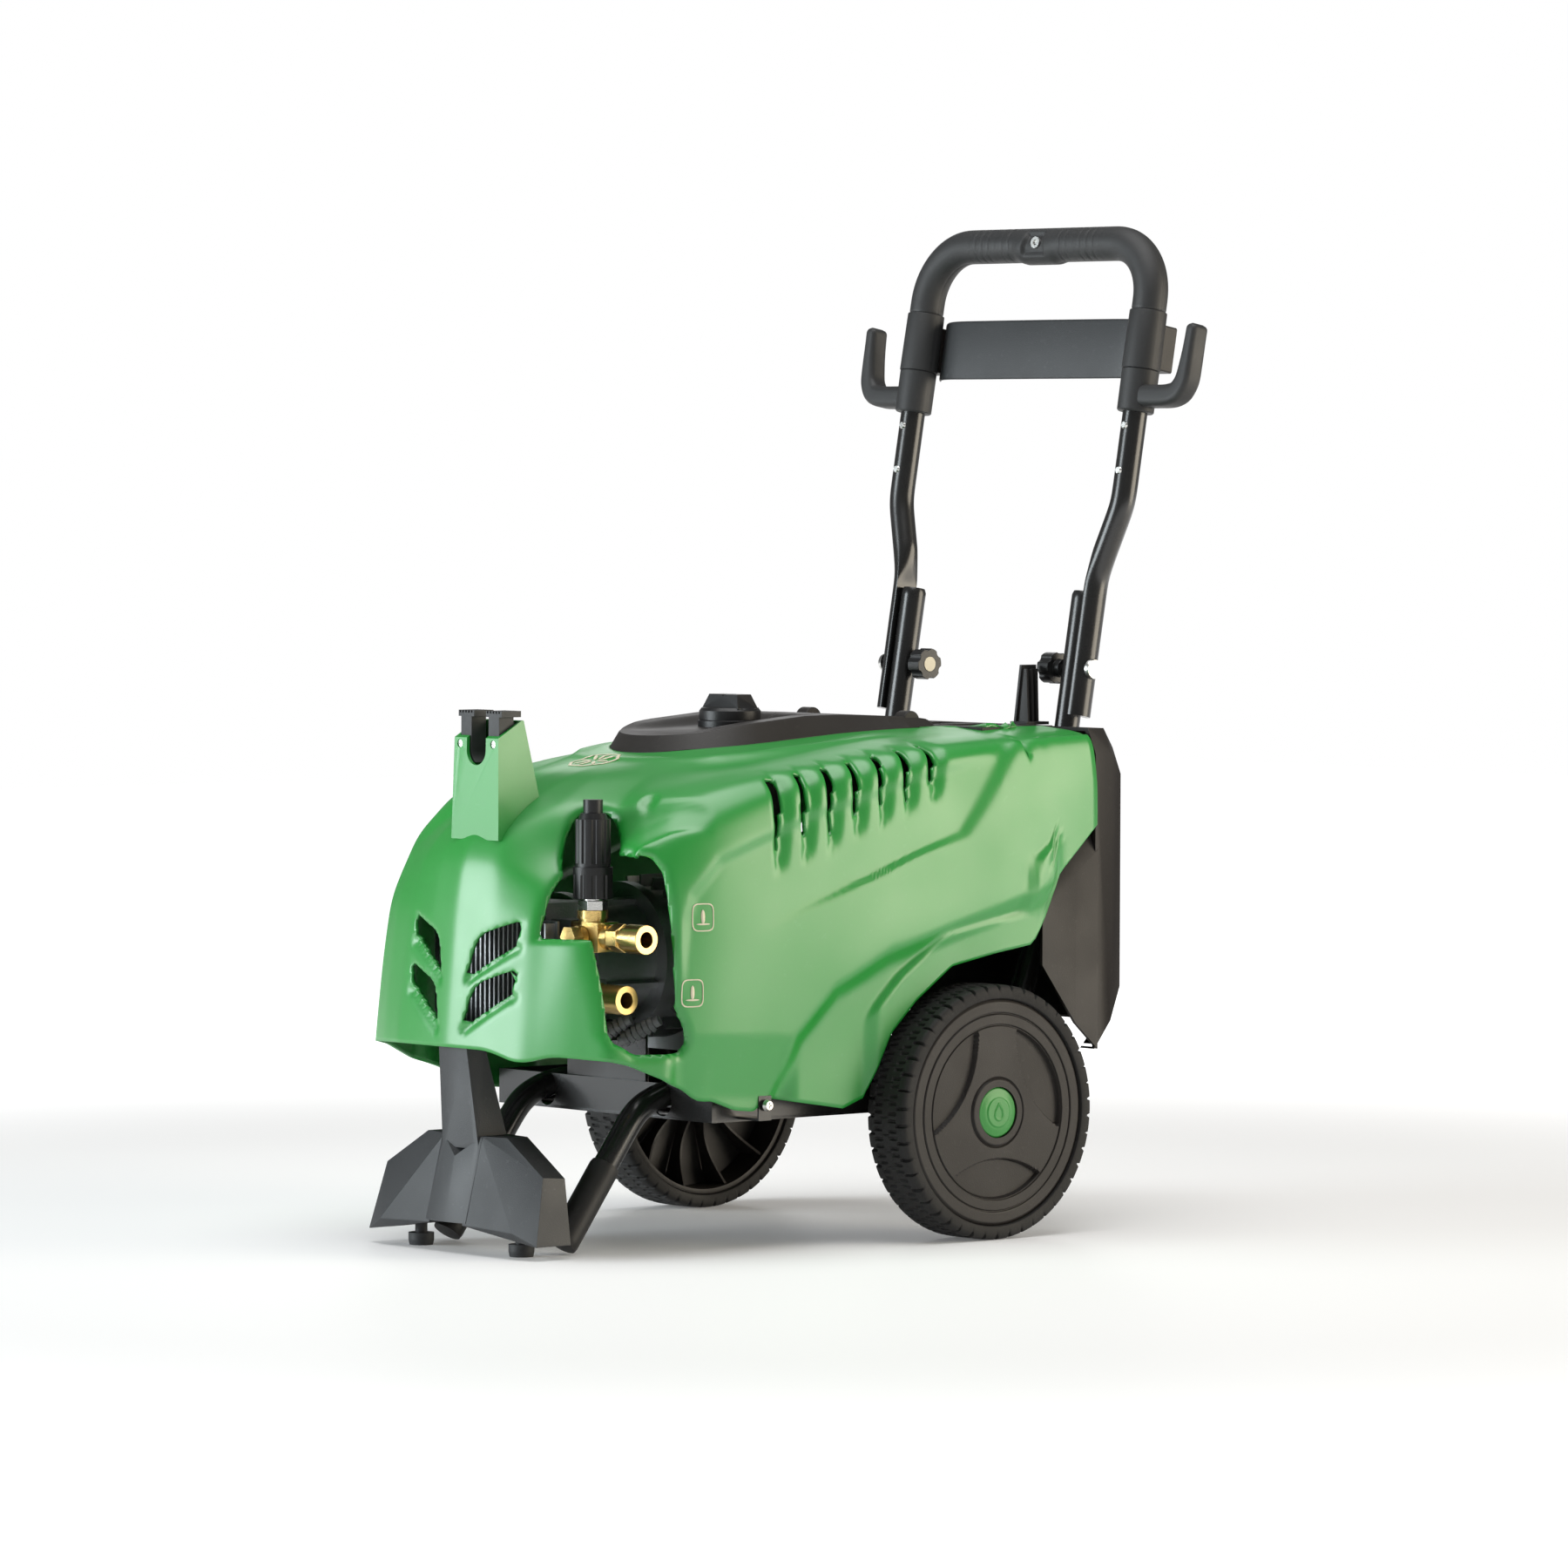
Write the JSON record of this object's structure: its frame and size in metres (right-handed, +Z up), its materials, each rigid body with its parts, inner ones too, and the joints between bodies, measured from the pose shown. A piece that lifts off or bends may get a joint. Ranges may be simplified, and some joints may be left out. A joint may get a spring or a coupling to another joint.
{
  "type": "pressure washer",
  "caption": "Trolley pressure washer: wheeled frame with a hooded motor and pump, brass hose fittings, lance rest, power dial and a fold-down handle with hose hooks.",
  "frame": {"origin": "middle of the footprint on the floor", "axes": "+Z up, +Y towards the handle end, nose towards -Y, hose fittings on the +X side"},
  "size_m": [0.494, 0.7996, 1.0005],
  "materials": {
    "green_plastic": "satin",
    "black_plastic": "fine grain",
    "brown_black_plastic": "fine grain",
    "foot_plastic": "fine grain",
    "soft_grip": "soft touch",
    "insert_rubber": "ribbed",
    "tyre_rubber": "moulded tread",
    "wheel_plastic": "fine grain",
    "cap_plastic": "satin",
    "black_steel": "satin powder coat",
    "bright_steel": "zinc plated",
    "knob_plastic": "fine grain",
    "cream_plastic": "satin",
    "cast_alloy": "as cast",
    "brass": "machined",
    "grey_hose": "moulded"
  },
  "bodies": {
    "chassis": {"hood": "green_plastic", "lance_post": "green_plastic", "lance_insert": "insert_rubber", "post_screws": "bright_steel", "top_cover": "black_plastic", "cover_clips": "black_plastic", "rear_deck": "black_plastic", "rear_cover": "brown_black_plastic", "side_screws": "bright_steel", "chassis_tray": "black_steel", "frame_tubes": "black_steel", "leg_sleeves": "black_steel", "front_foot": "foot_plastic", "rubber_feet": "insert_rubber", "front_bracket": "black_steel", "axle": "bright_steel", "axle_brackets": "black_steel", "axle_caps": "bright_steel", "side_bracket": "black_plastic", "dial_ring": "black_plastic", "switch_box": "black_plastic", "motor_case": "cast_alloy", "motor_feet": "cast_alloy", "fan_cowl": "black_plastic", "pump_case": "cast_alloy", "pump_head": "cast_alloy", "pump_fins": "cast_alloy", "unloader_body": "brass", "unloader_nut": "bright_steel", "brass_plug": "brass", "outlet_fitting": "brass", "inlet_fitting": "brass", "hose_barbs": "grey_hose", "cable_gland": "black_plastic"},
    "wheel_right": {"tyre_right": "tyre_rubber", "rim_right": "wheel_plastic", "cap_right": "cap_plastic"},
    "wheel_left": {"tyre_left": "tyre_rubber", "rim_left": "wheel_plastic", "cap_left": "cap_plastic"},
    "handle": {"handle_tube": "black_steel", "handle_grip": "soft_grip", "handle_collars": "soft_grip", "handle_band": "foot_plastic", "tube_rivets": "bright_steel", "grip_eyelet": "bright_steel", "carriage_bolts": "bright_steel"},
    "knob_right": {"star_knob_right": "knob_plastic", "knob_face_right": "cream_plastic"},
    "knob_left": {"star_knob_left": "knob_plastic", "knob_face_left": "cream_plastic"},
    "dial": {"power_knob": "black_plastic"},
    "regulator": {"regulator_knob": "knob_plastic"},
    "rotor": {"motor_shaft": "bright_steel", "cooling_fan": "knob_plastic"}
  },
  "joints": [
    {"name": "wheel_right_spin", "type": "hinge", "parent": "chassis", "child": "wheel_right", "pos_m": [0.2175, 0.098, 0.125], "axis": [1, 0, 0], "continuous": true},
    {"name": "wheel_left_spin", "type": "hinge", "parent": "chassis", "child": "wheel_left", "pos_m": [-0.2175, 0.098, 0.125], "axis": [1, 0, 0], "continuous": true},
    {"name": "handle_fold", "type": "hinge", "parent": "chassis", "child": "handle", "pos_m": [0, 0.306, 0.5534], "axis": [1, 0, 0], "range_deg": [0, 100]},
    {"name": "star_knob_right_turn", "type": "hinge", "parent": "handle", "child": "knob_right", "pos_m": [0.1, 0.306, 0.5534], "axis": [1, 0, 0], "range_deg": [-720, 0]},
    {"name": "star_knob_left_turn", "type": "hinge", "parent": "handle", "child": "knob_left", "pos_m": [-0.1, 0.306, 0.5534], "axis": [-1, 0, 0], "range_deg": [-720, 0]},
    {"name": "power_dial_turn", "type": "hinge", "parent": "chassis", "child": "dial", "pos_m": [0, -0.0395, 0.5], "axis": [0, 0, 1], "range_deg": [-90, 0]},
    {"name": "regulator_turn", "type": "hinge", "parent": "chassis", "child": "regulator", "pos_m": [0.109, -0.305, 0.37], "axis": [0, 0, 1], "range_deg": [-720, 0]},
    {"name": "rotor_spin", "type": "hinge", "parent": "chassis", "child": "rotor", "pos_m": [0, 0, 0.276], "axis": [0, 1, 0], "continuous": true}
  ]
}
